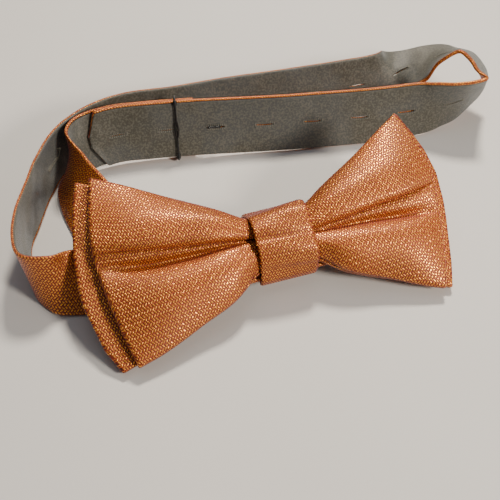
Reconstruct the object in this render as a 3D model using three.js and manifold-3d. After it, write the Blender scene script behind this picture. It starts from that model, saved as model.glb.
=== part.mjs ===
// A pre-tied, two-layer bow tie on an adjustable neckband with buttonholes, in millimetres.
// It lies on its back, top edge raised, with the neckband looped behind it.
// +X runs along the bow, +Y towards the neckband's loop, +Z up. While it is built, the knot's
// centre is at x = y = 0 and the table is z = 0. At the end it is moved to stand on its origin.
import * as THREE from 'three';
import { mergeVertices } from 'three/addons/utils/BufferGeometryUtils.js';
import Module from 'manifold-3d';

const wasm = await Module();
wasm.setup();

// The bow.
const BOW_TILT = THREE.MathUtils.degToRad(25); // the bow's face leans back from level
const FRONT_HALF_LENGTH = 59.5;                // knot to the corners of the front bow's ends
const BACK_HALF_LENGTH = 63.1;
const FRONT_SHIFT = -2.1;                      // the bows aren't quite centred in the knot
const BACK_SHIFT = -3.6;
const FRONT_END_BULGE = 6.3;
const BACK_END_BULGE = 6.4;
const END_LEAN = 0.8;                          // the ends lean out towards the top edge
const WING_TOP = 39;                           // half heights of a wing at its end
const WING_BOTTOM = 33;
const PINCH_HALF_HEIGHT = 9.8;
const BOW_THICKNESS = 2.2;
const COVER_CLOTH = 0.55;
const LAYER_GAP = 0.5;
const BOW_STACK = 2 * BOW_THICKNESS + LAYER_GAP;
const PUFF = 2.5;                              // how far the wings swell in front of the knot plane
const PLEAT_DEPTH = 2.6;

// The knot.
const KNOT_LENGTH = 22;
const PINCH_HALF_LENGTH = KNOT_LENGTH / 2 - 1.5;
const KNOT_CLOTH = 1.2;
const KNOT_FRONT = 3.9;                        // inside of the wrap, in front of the knot plane
const KNOT_PAD = [14, 15, 2.4];
const THREAD = 0.5;
const THREAD_LENGTH = 5;

// The neckband.
const STRAP_WIDTH = 25;
const FACE_CLOTH = 0.5;
const INTERLINING = 0.3;
const LINING = 0.4;
const PLY_GAP = 0.2;
const PIPING = 1.2;                            // face cloth showing beside the lining, on one edge
const HEM = 0.4;
const STRAP_BEHIND_KNOT = BOW_STACK + 2.1;     // strap's middle behind the knot plane
const KNOT_HEIGHT = STRAP_WIDTH + BOW_STACK - 10.9; // the wings lean on the upright strap's edge
const STUB_LENGTH = 44;                        // strap's short end behind the right wing
const STRAPS_APART = 2.2;                      // middle of one strap to the other where they lap
const TONGUE_CUT = 5;
const HOLE_PITCH = 21;
const FIRST_HOLE = 12;                         // tongue's tip to the first buttonhole's middle
const HOLE_COUNT = 19;
const HOLE = [8, 1.6];
const HOOKED_HOLE = 2;                         // the third buttonhole holds the size hook

// Wire parts.
const WIRE = 0.45;                             // radius
const RUN = 0.3;                               // running gap
const KEEPER_FROM_TONGUE = 37;
const TAB_HALF = 3.5;
const TAB_OUTER = 1;
const TAB_BORE = 0.7;
const RING_HALF = 4.8;
const BEND = 1.1;

// Each station of a strap: the middle's x and y, the height of its lower edge above the table,
// and the direction from its plain edge to its piped edge.
const LONG_ROUTE = [
  [-40, 4, 5.4, 0, -0.87, -0.49],
  [-60, 7, 1.6, 0, -0.8, -0.6],
  [-75, 9, 0, 0.03, -0.6, -0.8],
  [-85, 10, 0.2, 0.1, -0.32, -0.95],
  [-92, 16, 0.2, 0.12, -0.15, -0.98],
  [-93, 27, 0, 0.08, -0.05, -1],
  [-91, 39, 0, 0, 0, -1],
  [-86, 51, 0, 0, 0, -1],
  [-80, 64.5, 0, 0, 0, -1],
  [-71, 78, 0, 0, 0, -1],
  [-57, 87, 0, 0.05, -0.08, -0.99],
  [-40, 90, 0, 0, -0.25, -0.96],
  [-20, 88, 0, 0, -0.38, -0.92],
  [5, 87, 0, 0, -0.4, -0.91],
  [30, 85, 0, 0, -0.4, -0.91],
  [55, 83, 0.3, 0, -0.4, -0.91],
  [76, 82, 1, 0, -0.42, -0.9],
  [87, 82, 12, -0.3, -0.93, -0.2],
  [96, 79, 19, -0.42, -0.9, 0],
  [103, 75, 21, -0.64, -0.7, 0.32],
  [109, 71, 21, -0.66, -0.52, 0.54],
  [112, 65, 18.5, -0.64, -0.47, 0.61],
  [113, 60, 14.5, -0.59, -0.43, 0.68],
  [112, 56, 9.7, -0.3, -0.5, 0.82],
  [106, 55, 6.4, -0.26, -0.36, 0.89],
  [99, 55, 3.5, -0.2, -0.14, 0.96],
  [92, 56.5, 1.6, -0.1, 0.05, 0.98],
  [83, 58.5, 0.3, 0, 0.28, 0.96],
  [65, 61, 0, 0, 0.38, 0.92],
  [45, 64.5, 0, 0, 0.4, 0.91],
  [25, 68, 0.3, 0, 0.41, 0.91],
  [5, 72, 1.2, 0, 0.41, 0.91],
  [-15, 75.5, 2, 0, 0.41, 0.91],
  [-32, 78, 2.2, 0, 0.4, 0.91],
  [-46, 79.5, 2.5, 0, 0.38, 0.92],
  [-58, 78, 2.5, 0.1, 0.38, 0.92],
];
const SHORT_ROUTE = [
  [-65.5, 75, 2, 0.25, 0.4, 0.88],
  [-68.5, 69, 1, 0.4, 0.2, 0.88],
  [-68.5, 62, 0.3, 0.55, 0.05, 0.83],
  [-66.5, 54, 0, 0.7, 0.1, 0.7],
  [-63, 44, 0, 0.85, 0.15, 0.5],
  [-60, 35, 0.2, 0.95, 0.2, 0.25],
  [-58, 28, 1, 0.98, 0.18, 0.1],
];

const STRAP_THICKNESS = FACE_CLOTH + INTERLINING + LINING + 2 * PLY_GAP;

// ---- Solids ----

// A closed solid through rings of points, all of one length, ended by caps. The cells of two plies
// that lie on each other split along the same diagonal, so that a twist doesn't make them cross:
// turnedEdges says which edges of the ring run backwards.
function loft(rings, closed = false, turnedEdges = []) {
  const size = rings[0].length;
  const positions = rings.flat().flatMap((p) => p.toArray());
  const index = [];
  const spans = closed ? rings.length : rings.length - 1;
  for (let i = 0; i < spans; i += 1) {
    const here = i * size;
    const next = ((i + 1) % rings.length) * size;
    for (let j = 0; j < size; j += 1) {
      const k = (j + 1) % size;
      const [a, b, c, d] = [here + j, next + j, next + k, here + k];
      index.push(...(turnedEdges[j] ? [a, b, d, b, c, d] : [a, b, c, a, c, d]));
    }
  }
  if (!closed) {
    const last = (rings.length - 1) * size;
    for (const [a, b, c] of capTriangles(rings[0])) {
      index.push(a, b, c, last + c, last + b, last + a);
    }
  }
  return outward(positions, index);
}

// Triangles that fill a flat ring, wound as the ring is.
function capTriangles(ring) {
  const normal = new THREE.Vector3();
  ring.forEach((p, i) => normal.add(p.clone().cross(ring[(i + 1) % ring.length])));
  normal.normalize();
  const across = ring[1].clone().sub(ring[0]).normalize();
  const up = normal.clone().cross(across);
  const flat = ring.map((p) => new THREE.Vector2(p.dot(across), p.dot(up)));
  return THREE.ShapeUtils.triangulateShape(flat, []);
}

// An indexed geometry whose faces point out.
function outward(positions, index) {
  const corner = (i) => new THREE.Vector3().fromArray(positions, 3 * i);
  let volume = 0;
  for (let i = 0; i < index.length; i += 3) {
    volume += corner(index[i]).dot(corner(index[i + 1]).cross(corner(index[i + 2])));
  }
  const turned = volume < 0 ? index.slice().reverse() : index;
  const geometry = new THREE.BufferGeometry();
  geometry.setAttribute('position', new THREE.Float32BufferAttribute(positions, 3));
  geometry.setIndex(turned);
  return geometry;
}

function toSolid(geometry) {
  const bare = geometry.clone();
  bare.deleteAttribute('normal');
  bare.deleteAttribute('uv');
  const merged = mergeVertices(bare, 1e-5);
  return new wasm.Manifold(new wasm.Mesh({
    numProp: 3,
    vertProperties: new Float32Array(merged.attributes.position.array),
    triVerts: new Uint32Array(merged.index.array),
  }));
}

function toGeometry(solid) {
  const mesh = solid.getMesh();
  const geometry = new THREE.BufferGeometry();
  geometry.setAttribute('position', new THREE.Float32BufferAttribute(mesh.vertProperties, 3));
  geometry.setIndex(new THREE.Uint32BufferAttribute(mesh.triVerts, 1));
  return geometry;
}

function cut(geometry, tools) {
  return toGeometry(tools.reduce((solid, tool) => solid.subtract(toSolid(tool)), toSolid(geometry)));
}

function join(geometries) {
  return toGeometry(geometries.map(toSolid).reduce((all, solid) => all.add(solid)));
}

// ---- Places ----

// A frame is a middle point with three directions: along (the strap's heading), across (from its
// plain edge to its piped edge) and lining (out of its lining side).
function place(frame, along, across, lining) {
  return frame.middle.clone()
    .addScaledVector(frame.along, along)
    .addScaledVector(frame.across, across)
    .addScaledVector(frame.lining, lining);
}

// A smooth curve through stations of numbers, with a few steps between each two.
function smooth(stations, steps) {
  const first = stations[0].map((v, k) => 2 * v - stations[1][k]);
  const end = stations.length - 1;
  const last = stations[end].map((v, k) => 2 * v - stations[end - 1][k]);
  const all = [first, ...stations, last];
  const out = [];
  for (let i = 0; i < end; i += 1) {
    const [a, b, c, d] = all.slice(i, i + 4);
    for (let s = 0; s < steps; s += 1) {
      const t = s / steps;
      out.push(b.map((v, k) => 0.5 * (2 * v + (c[k] - a[k]) * t
        + (2 * a[k] - 5 * v + 4 * c[k] - d[k]) * t ** 2
        + (3 * v - a[k] - 3 * c[k] + d[k]) * t ** 3)));
    }
  }
  out.push(stations[end]);
  return out;
}

function strapFrames(route, steps) {
  const stations = route.map(([x, y, low, ax, ay, az]) => {
    const across = new THREE.Vector3(ax, ay, az).normalize();
    const upright = Math.abs(across.z);
    const z = low + upright * STRAP_WIDTH / 2 + (1 - upright) * STRAP_THICKNESS / 2;
    return [x, y, z, ...across];
  });
  const rows = smooth(stations, steps);
  return rows.map((row, i) => {
    const before = rows[Math.max(i - 1, 0)];
    const after = rows[Math.min(i + 1, rows.length - 1)];
    const along = new THREE.Vector3(after[0] - before[0], after[1] - before[1], after[2] - before[2]);
    along.normalize();
    const across = new THREE.Vector3(row[3], row[4], row[5]);
    across.addScaledVector(along, -across.dot(along)).normalize();
    const lining = across.clone().cross(along);
    return { middle: new THREE.Vector3(row[0], row[1], row[2]), along, across, lining };
  });
}

function routeLengths(frames) {
  const lengths = [0];
  for (let i = 1; i < frames.length; i += 1) {
    lengths.push(lengths[i - 1] + frames[i].middle.distanceTo(frames[i - 1].middle));
  }
  return lengths;
}

// The frame at a length along the strap.
function frameAt(frames, length) {
  const lengths = routeLengths(frames);
  const after = Math.max(1, lengths.findIndex((l) => l >= length));
  const t = (length - lengths[after - 1]) / (lengths[after] - lengths[after - 1]);
  const [a, b] = [frames[after - 1], frames[after]];
  const along = a.along.clone().lerp(b.along, t).normalize();
  const across = a.across.clone().lerp(b.across, t);
  across.addScaledVector(along, -across.dot(along)).normalize();
  return { middle: a.middle.clone().lerp(b.middle, t), along, across, lining: across.clone().cross(along) };
}

// ---- Neckband ----

const tiltUp = new THREE.Vector3(0, Math.cos(BOW_TILT), Math.sin(BOW_TILT));
const bowNormal = new THREE.Vector3(0, -Math.sin(BOW_TILT), Math.cos(BOW_TILT));
const knotMiddle = new THREE.Vector3(0, 0, KNOT_HEIGHT);

// Where the strap runs straight through the back of the knot.
function knotStation(x) {
  const middle = knotMiddle.clone().addScaledVector(bowNormal, -STRAP_BEHIND_KNOT);
  const upright = tiltUp.z;
  const low = middle.z - upright * STRAP_WIDTH / 2 - (1 - upright) * STRAP_THICKNESS / 2;
  return [x, middle.y, low, 0, -tiltUp.y, -tiltUp.z];
}

const longFrames = strapFrames([STUB_LENGTH, 20, 0, -20].map(knotStation).concat(LONG_ROUTE), 3);
const longLength = routeLengths(longFrames).at(-1);

// The short strap starts behind the long one, on its face side, and follows it to the fold.
const shortStart = longLength - FIRST_HOLE - HOOKED_HOLE * HOLE_PITCH + 9.2;
const LAP_STEPS = 4;
const lapStations = [];
for (let i = 0; i <= LAP_STEPS; i += 1) {
  const frame = frameAt(longFrames, shortStart + (longLength - shortStart) * i / LAP_STEPS);
  const middle = place(frame, 0, 0, -STRAPS_APART);
  const upright = Math.abs(frame.across.z);
  const low = middle.z - upright * STRAP_WIDTH / 2 - (1 - upright) * STRAP_THICKNESS / 2;
  lapStations.push([middle.x, middle.y, low, ...frame.across]);
}
const shortFrames = strapFrames(lapStations.concat(SHORT_ROUTE), 4);

// One ply of a strap: its section is drawn across (plain edge negative) and towards the lining.
function ply(frames, section) {
  const turnedEdges = section.map(([across], i) => section[(i + 1) % section.length][0] < across);
  const ring = (frame) => section.map(([across, lining]) => place(frame, 0, across, lining));
  return loft(frames.map(ring), false, turnedEdges);
}

const half = STRAP_WIDTH / 2;
const back = -STRAP_THICKNESS / 2;
const faceTop = back + FACE_CLOTH;
const interliningTop = faceTop + PLY_GAP + INTERLINING;
const FACE_SECTION = [
  [-half, back], [half, back], [half, -back], [half - PIPING, -back],
  [half - PIPING, faceTop], [-half + HEM, faceTop],
  [-half + HEM, -back - HEM / 2], [-half, -back - HEM / 2],
];
const slab = (low, high) => [
  [-half + HEM + RUN, low], [half - PIPING - RUN, low],
  [half - PIPING - RUN, high], [-half + HEM + RUN, high],
];

function strapPlies(frames) {
  return {
    face: ply(frames, FACE_SECTION),
    interlining: ply(frames, slab(faceTop + PLY_GAP, interliningTop)),
    lining: ply(frames, slab(interliningTop + PLY_GAP, -back)),
  };
}

// A straight prism through a frame, from corners drawn along and across.
function prism(frame, corners, depth) {
  const ring = (lining) => corners.map(([along, across]) => place(frame, along, across, lining));
  return loft([ring(-depth), ring(depth)]);
}

function holeCutters() {
  const cutters = [];
  for (let i = 0; i < HOLE_COUNT; i += 1) {
    const frame = frameAt(longFrames, longLength - FIRST_HOLE - i * HOLE_PITCH);
    const [l, w] = [HOLE[0] / 2, HOLE[1] / 2];
    cutters.push(prism(frame, [[-l, -w], [l, -w], [l, w], [-l, w]], STRAP_THICKNESS));
  }
  return cutters;
}

// The tongue: the long strap's end comes to a blunt point.
function tongueCutters() {
  const frame = longFrames.at(-1);
  return [-1, 1].map((side) => prism(frame, [
    [0.5, side * 1.5], [0.5, side * (half + 1)], [-TONGUE_CUT, side * (half + 1)],
  ], STRAP_THICKNESS));
}

// ---- Bow ----

const bowPoint = (u, v, n) => knotMiddle.clone()
  .add(new THREE.Vector3(u, 0, 0))
  .addScaledVector(tiltUp, v)
  .addScaledVector(bowNormal, n);

const wingSpan = FRONT_HALF_LENGTH - PINCH_HALF_LENGTH;
const outwards = (u) => Math.max(0, (Math.abs(u) - PINCH_HALF_LENGTH) / wingSpan);
const topEdge = (u) => PINCH_HALF_HEIGHT + (WING_TOP - PINCH_HALF_HEIGHT) * outwards(u);
const bottomEdge = (u) => -PINCH_HALF_HEIGHT - (WING_BOTTOM - PINCH_HALF_HEIGHT) * outwards(u) ** 0.75;

// How far the cloth stands in front of the knot plane: swollen wings with one pleat in each.
function swell(u, v) {
  const s = outwards(u);
  const rise = THREE.MathUtils.smoothstep(s, 0, 0.15) * (1 - 0.65 * s);
  const edge = v > 0 ? topEdge(u) : bottomEdge(u);
  const crown = Math.max(0, 1 - (v / edge) ** 2);
  const pleatLine = 1 + (u < 0 ? 5 : 1) * s;
  const pleat = Math.exp(-(((v - pleatLine) / (2.5 + 3 * s)) ** 2));
  return rise * (PUFF * crown - PLEAT_DEPTH * pleat);
}

// A bow-shaped solid: inset from the outline, between two heights in front of the cloth's middle.
function bowSolid(halfLength, shift, bulge, inset, low, high) {
  const inner = [0.08, 0.16, 0.26, 0.42, 0.6, 0.78].map((share) => share * FRONT_HALF_LENGTH);
  const end = halfLength - inset;
  const outer = [...inner, (inner.at(-1) + end) / 2, end];
  const columns = [...outer.map((u) => -u).reverse(), 0, ...outer];
  const rows = [-1, -0.75, -0.5, -0.25, 0, 0.12, 0.25, 0.5, 0.75, 1];
  const rings = columns.map((flat) => {
    const side = (n, list) => list.map((row) => {
      const out = Math.abs(flat) / end;
      const curve = bulge * (1 - row ** 2) * (1 + 0.5 * row) + END_LEAN * row;
      const u = flat + shift * out + Math.sign(flat) * curve * out ** 3;
      const v = row > 0 ? row * (topEdge(flat) - inset) : -row * (bottomEdge(flat) + inset);
      return bowPoint(u, v, swell(u, v) + n);
    });
    return side(high, rows).concat(side(low, rows.slice().reverse()));
  });
  return loftStrips(rings, rows.length);
}

// A loft whose caps are strips between the ring's two sides, for ends that aren't flat.
function loftStrips(rings, rows) {
  const size = rings[0].length;
  const positions = rings.flat().flatMap((p) => p.toArray());
  const index = [];
  for (let i = 0; i + 1 < rings.length; i += 1) {
    for (let j = 0; j < size; j += 1) {
      const k = (j + 1) % size;
      const [a, b, c, d] = [i * size + j, (i + 1) * size + j, (i + 1) * size + k, i * size + k];
      index.push(a, b, c, a, c, d);
    }
  }
  const last = (rings.length - 1) * size;
  for (let j = 0; j + 1 < rows; j += 1) {
    const [a, b, c, d] = [j, j + 1, size - 2 - j, size - 1 - j];
    index.push(a, b, c, a, c, d, last + a, last + c, last + b, last + a, last + d, last + c);
  }
  return outward(positions, index);
}

// A bow's cover is a sleeve round its interlining, open at a slit in the middle of its back.
function bow(halfLength, shift, bulge, middle) {
  const reach = BOW_THICKNESS / 2;
  const pocket = reach - COVER_CLOTH;
  const core = pocket - PLY_GAP;
  const slit = loft([-1, 1].map((side) => [[-5, -1.2], [5, -1.2], [5, 1.2], [-5, 1.2]]
    .map(([u, v]) => bowPoint(u, v, middle - reach + (side < 0 ? -1 : reach)))));
  const cover = cut(bowSolid(halfLength, shift, bulge, 0, middle - reach, middle + reach), [
    bowSolid(halfLength, shift, bulge, COVER_CLOTH + 0.6, middle - pocket, middle + pocket),
    slit,
  ]);
  const inset = COVER_CLOTH + 1.2;
  const interlining = bowSolid(halfLength, shift, bulge, inset, middle - core, middle + core);
  return { cover, interlining };
}

// ---- Knot ----

// A closed band round the bow's middle, from its inner outline and its cloth's thickness.
function band(length, outline, cloth) {
  const count = outline.length;
  const centre = outline.reduce((sum, [v, n]) => [sum[0] + v / count, sum[1] + n / count], [0, 0]);
  const grown = (value, middle) => value + Math.sign(value - middle) * cloth;
  const shape = new THREE.Shape(
    outline.map(([v, n]) => new THREE.Vector2(grown(v, centre[0]), grown(n, centre[1]))),
  );
  shape.holes.push(new THREE.Path(outline.map(([v, n]) => new THREE.Vector2(v, n))));
  const geometry = new THREE.ExtrudeGeometry(shape, { depth: length, bevelEnabled: false });
  geometry.translate(0, 0, -length / 2);
  return inKnot(geometry);
}

// Turns a shape drawn as (height, front, length) into the knot's place.
function inKnot(geometry) {
  const matrix = new THREE.Matrix4().makeBasis(tiltUp, bowNormal, new THREE.Vector3(1, 0, 0));
  matrix.setPosition(knotMiddle);
  return geometry.applyMatrix4(matrix);
}

const strapRoom = half + RUN + 0.4;
const wrapBack = -STRAP_BEHIND_KNOT - STRAP_THICKNESS / 2 - RUN;
const WRAP_OUTLINE = [
  [-strapRoom, wrapBack], [strapRoom, wrapBack],
  [strapRoom, wrapBack + 4], [strapRoom - 0.7, KNOT_FRONT - 3.5],
  [strapRoom - 3.2, KNOT_FRONT], [-strapRoom + 3.2, KNOT_FRONT],
  [-strapRoom + 0.7, KNOT_FRONT - 3.5], [-strapRoom, wrapBack + 4],
];
const pinch = PINCH_HALF_HEIGHT + RUN;
const pinchBack = -BOW_STACK - RUN;
const THREAD_OUTLINE = [[-pinch, pinchBack], [pinch, pinchBack], [pinch, RUN], [-pinch, RUN]];

function knotPad() {
  const [height, length, thickness] = KNOT_PAD;
  const shape = new THREE.Shape();
  const [v, n] = [height / 2, thickness];
  shape.moveTo(-v, 0);
  shape.lineTo(v, 0);
  shape.bezierCurveTo(v, n, v - 2, n, v - 4, n);
  shape.lineTo(-v + 4, n);
  shape.bezierCurveTo(-v + 2, n, -v, n, -v, 0);
  const solid = { depth: length, bevelEnabled: false, curveSegments: 5 };
  const geometry = new THREE.ExtrudeGeometry(shape, solid);
  geometry.translate(0, RUN + THREAD + RUN, -length / 2);
  return inKnot(geometry);
}

// ---- Wire parts ----

// Round wire along points, turned about one direction that the path lies square to.
function wire(points, flatNormal, closed) {
  const sides = 6;
  const rings = points.map((point, i) => {
    const before = closed ? points.at(i - 1) : points[Math.max(i - 1, 0)];
    const after = closed ? points[(i + 1) % points.length] : points[Math.min(i + 1, points.length - 1)];
    const side = after.clone().sub(before).normalize().cross(flatNormal);
    return Array.from({ length: sides }, (_, k) => {
      const angle = 2 * Math.PI * (k + 0.5) / sides;
      return point.clone()
        .addScaledVector(side, WIRE * Math.cos(angle))
        .addScaledVector(flatNormal, WIRE * Math.sin(angle));
    });
  });
  return loft(rings, closed);
}

// The corners of a path rounded by short arcs.
function rounded(corners, closed) {
  const out = [];
  corners.forEach((corner, i) => {
    if (!closed && (i === 0 || i === corners.length - 1)) {
      out.push(corner);
      return;
    }
    const from = corners.at(i - 1).clone().sub(corner).setLength(BEND).add(corner);
    const to = corners[(i + 1) % corners.length].clone().sub(corner).setLength(BEND).add(corner);
    for (let s = 0; s <= 4; s += 1) {
      const t = s / 4;
      const start = from.clone().lerp(corner, t);
      out.push(start.lerp(corner.clone().lerp(to, t), t));
    }
  });
  return out;
}

// A keeper loop round both straps.
function keeper() {
  const frame = frameAt(longFrames, longLength - KEEPER_FROM_TONGUE);
  const reach = half + RUN + WIRE + 0.2;
  const front = STRAP_THICKNESS / 2 + RUN + WIRE;
  const rear = -STRAPS_APART - front;
  const corners = [[-reach, front], [reach, front], [reach, rear], [-reach, rear]];
  return wire(rounded(corners.map(([a, l]) => place(frame, 0, a, l)), true), frame.along, true);
}

// A closed wire ring in the strap's plane; its near side is the bar that a tab holds.
function ring(frame, near, far) {
  const corners = [[near, -RING_HALF], [far, -RING_HALF], [far, RING_HALF], [near, RING_HALF]];
  return wire(rounded(corners.map(([l, a]) => place(frame, l, a, 0)), true), frame.lining, true);
}

// A cloth tab folded round a ring's bar, next to a strap's end.
function tab(frame, bar) {
  const circle = (radius) => Array.from({ length: 12 }, (_, k) => {
    const angle = 2 * Math.PI * k / 12;
    return new THREE.Vector2(radius * Math.cos(angle), radius * Math.sin(angle));
  });
  const shape = new THREE.Shape(circle(TAB_OUTER));
  shape.holes.push(new THREE.Path(circle(TAB_BORE)));
  const geometry = new THREE.ExtrudeGeometry(shape, { depth: 2 * TAB_HALF, bevelEnabled: false });
  geometry.translate(0, 0, -TAB_HALF);
  const onward = frame.across.clone().cross(frame.lining);
  const matrix = new THREE.Matrix4().makeBasis(frame.lining, onward, frame.across);
  matrix.setPosition(place(frame, bar, 0, 0));
  return geometry.applyMatrix4(matrix);
}

// The strap's end seen from outside: its heading points away from the strap.
const reversed = (frame) => ({
  middle: frame.middle, along: frame.along.clone().negate(), across: frame.across, lining: frame.lining,
});
const BAR = RUN + TAB_OUTER;
const stubEnd = reversed(longFrames[0]);
const hookEnd = shortFrames.at(-1);
const sizeEnd = reversed(shortFrames[0]);

// The size hook: a ring held by its tab, and an arm that comes through a buttonhole and turns back.
function sizeHook() {
  const far = BAR + 3;
  const [through, tip] = [far + 6.4, far + 1.7];
  const above = STRAPS_APART + STRAP_THICKNESS / 2 + RUN + WIRE;
  const arm = [[far, 0], [through, 0], [through, above], [tip, above]];
  const points = rounded(arm.map(([l, n]) => place(sizeEnd, l, 0, n)), false);
  return join([ring(sizeEnd, BAR, far), wire(points, sizeEnd.across, false)]);
}

// The closure hook: a ring with a hook bent up towards the face.
function closureHook() {
  const far = BAR + 3.4;
  const arm = [[far, 0], [far + 6, 0], [far + 6, -2.6], [far + 2.5, -2.6]];
  const points = rounded(arm.map(([l, n]) => place(hookEnd, l, 0, n)), false);
  return join([ring(hookEnd, BAR, far), wire(points, hookEnd.across, false)]);
}

// ---- The bow tie ----

const faceCloth = new THREE.MeshStandardMaterial({ color: 0xb86a35, roughness: 0.55, metalness: 0 });
const liningCloth = new THREE.MeshStandardMaterial({ color: 0x5c594c, roughness: 0.5, metalness: 0 });
const stiffener = new THREE.MeshStandardMaterial({ color: 0xd8d4c8, roughness: 0.9, metalness: 0 });
const thread = new THREE.MeshStandardMaterial({ color: 0x7a3f22, roughness: 0.8, metalness: 0 });
const blackWire = new THREE.MeshStandardMaterial({ color: 0x1a1a18, roughness: 0.4, metalness: 0.6 });

const tie = new THREE.Group();

function add(name, geometry, material) {
  const mesh = new THREE.Mesh(geometry, material);
  mesh.name = name;
  tie.add(mesh);
}

const longPlies = strapPlies(longFrames);
const cutters = holeCutters().concat(tongueCutters());
add('long_strap_face', cut(longPlies.face, cutters), faceCloth);
add('long_strap_interlining', cut(longPlies.interlining, cutters), stiffener);
add('long_strap_lining', cut(longPlies.lining, cutters), liningCloth);

const shortPlies = strapPlies(shortFrames);
add('short_strap_face', shortPlies.face, faceCloth);
add('short_strap_interlining', shortPlies.interlining, stiffener);
add('short_strap_lining', shortPlies.lining, liningCloth);

const frontBow = bow(FRONT_HALF_LENGTH, FRONT_SHIFT, FRONT_END_BULGE, -BOW_THICKNESS / 2);
add('front_bow_cover', frontBow.cover, faceCloth);
add('front_bow_interlining', frontBow.interlining, stiffener);
const backBow = bow(BACK_HALF_LENGTH, BACK_SHIFT, BACK_END_BULGE, BOW_THICKNESS / 2 - BOW_STACK);
add('back_bow_cover', backBow.cover, faceCloth);
add('back_bow_interlining', backBow.interlining, stiffener);

add('knot_wrap', band(KNOT_LENGTH, WRAP_OUTLINE, KNOT_CLOTH), faceCloth);
add('gathering_thread', band(THREAD_LENGTH, THREAD_OUTLINE, THREAD), thread);
add('knot_pad', knotPad(), stiffener);

add('keeper_wire', keeper(), blackWire);
add('size_hook', sizeHook(), blackWire);
add('size_hook_tab', tab(sizeEnd, BAR), liningCloth);
add('closure_hook', closureHook(), blackWire);
add('closure_hook_tab', tab(hookEnd, BAR), faceCloth);
add('closure_eye', ring(stubEnd, BAR, BAR + 7), blackWire);
add('closure_eye_tab', tab(stubEnd, BAR), faceCloth);

// The whole tie stands on its origin, at the middle of its footprint.
tie.updateMatrixWorld(true);
const box = new THREE.Box3().setFromObject(tie, true);
const centre = box.getCenter(new THREE.Vector3());
tie.position.set(-centre.x, -centre.y, -box.min.z);

export default tie;
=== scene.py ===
import math

import bpy
import numpy as np
from mathutils import Matrix, Vector


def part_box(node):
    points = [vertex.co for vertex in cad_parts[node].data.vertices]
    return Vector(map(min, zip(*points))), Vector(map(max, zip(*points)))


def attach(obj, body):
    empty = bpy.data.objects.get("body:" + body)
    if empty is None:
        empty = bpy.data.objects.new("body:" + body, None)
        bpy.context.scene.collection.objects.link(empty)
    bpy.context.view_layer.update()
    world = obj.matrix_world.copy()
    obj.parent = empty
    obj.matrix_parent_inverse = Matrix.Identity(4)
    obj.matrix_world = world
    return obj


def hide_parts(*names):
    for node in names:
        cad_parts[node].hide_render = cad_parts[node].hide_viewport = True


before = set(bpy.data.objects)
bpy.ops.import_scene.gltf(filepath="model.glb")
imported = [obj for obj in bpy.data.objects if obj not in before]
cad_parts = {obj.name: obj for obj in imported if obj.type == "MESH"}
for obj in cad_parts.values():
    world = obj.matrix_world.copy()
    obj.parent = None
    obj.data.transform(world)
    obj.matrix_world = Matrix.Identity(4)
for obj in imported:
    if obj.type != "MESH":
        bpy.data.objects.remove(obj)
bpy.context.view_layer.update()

# ---- The knot's place and the view ----
# A pre-tied bow tie lies on its back on a pale table, its top edge raised and its neckband
# looped behind it. Everything is set out from the middle of the knot, which the gathering
# thread surrounds.

MM = 0.001
BOW_TILT = math.radians(25)
THREAD_BEHIND_KNOT = 2.45 * MM

up_bow = Vector((0, math.cos(BOW_TILT), math.sin(BOW_TILT)))
out_of_bow = Vector((0, -math.sin(BOW_TILT), math.cos(BOW_TILT)))
thread_low, thread_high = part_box("gathering_thread")
knot = (Vector(thread_low) + Vector(thread_high)) / 2 + THREAD_BEHIND_KNOT * out_of_bow

CAMERA_FROM_KNOT = Vector((-0.0690, -0.1807, 0.2231))
CAMERA_TURN = math.radians(17.4)
CAMERA_DOWN = math.radians(50)

turn_sin, turn_cos = math.sin(CAMERA_TURN), math.cos(CAMERA_TURN)
down_sin, down_cos = math.sin(CAMERA_DOWN), math.cos(CAMERA_DOWN)
camera_axes = Matrix((
    (turn_cos, turn_sin * down_sin, -turn_sin * down_cos),
    (-turn_sin, turn_cos * down_sin, -turn_cos * down_cos),
    (0, down_cos, down_sin),
)).to_4x4()
lens = bpy.data.cameras.new("camera")
lens.lens = 57.6
lens.sensor_width = 36
lens.clip_start = 0.01
camera = bpy.data.objects.new("camera", lens)
camera.matrix_world = Matrix.Translation(knot + CAMERA_FROM_KNOT) @ camera_axes
bpy.context.scene.collection.objects.link(camera)
bpy.context.scene.camera = camera


# ---- The table and the light ----
# A plain pale table top. The main lamp is above and behind on the right, so that folds are
# bright where they face back and dark where they turn under. Two softer lamps fill in.

class Signal:
    """One value of a finish. Sums and products of signals become the finish's Math nodes."""

    def __init__(self, finish, socket):
        self.finish = finish
        self.socket = socket

    def math(self, operation, *others, swap=False):
        inputs = (*others, self) if swap else (self, *others)
        return self.finish.node("ShaderNodeMath", {"operation": operation}, dict(enumerate(inputs)))

    def __add__(self, other):
        return self.math("ADD", other)

    def __sub__(self, other):
        return self.math("SUBTRACT", other)

    def __mul__(self, other):
        return self.math("MULTIPLY", other)

    def __truediv__(self, other):
        return self.math("DIVIDE", other)

    def __rsub__(self, other):
        return self.math("SUBTRACT", other, swap=True)

    __radd__ = __add__
    __rmul__ = __mul__

    def step(self, low, high):
        """Rises smoothly from 0 to 1 as the value goes from low to high."""
        return self.finish.node(
            "ShaderNodeMapRange", {"interpolation_type": "SMOOTHSTEP"}, {0: self, 1: low, 2: high})


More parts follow.
